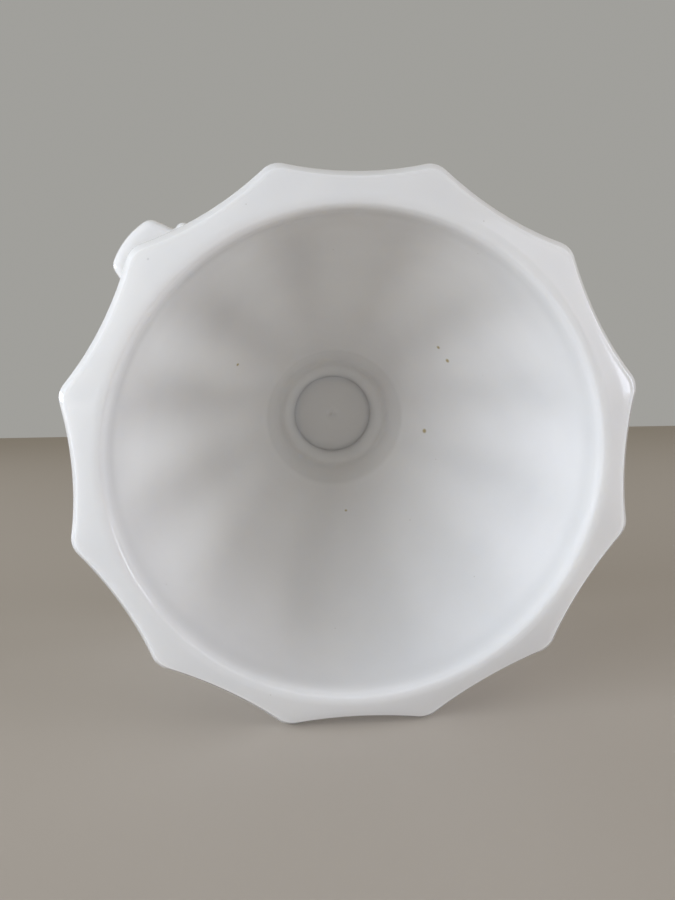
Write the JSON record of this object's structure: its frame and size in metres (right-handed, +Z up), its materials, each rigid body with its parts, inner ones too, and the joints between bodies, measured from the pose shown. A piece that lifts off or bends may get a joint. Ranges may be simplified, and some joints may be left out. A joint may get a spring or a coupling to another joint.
{
  "type": "cake stand",
  "caption": "White milk-glass cake stand: a scalloped plate with a tab handle at each end, on a hollow bell foot with flutes and a flat scalloped rim.",
  "frame": {"origin": "on the stand's axis, in the plane of the ring that the foot rests on", "axes": "+Z up along the axis from the foot to the plate, +X towards one of the two tab handles"},
  "size_m": [0.2028, 0.1822, 0.1074],
  "materials": {
    "milk_glass": "opaque white, fire-polished"
  },
  "bodies": {
    "root": {"cake_plate": "milk_glass", "joining_wafer": "milk_glass", "pedestal_foot": "milk_glass"}
  },
  "joints": []
}
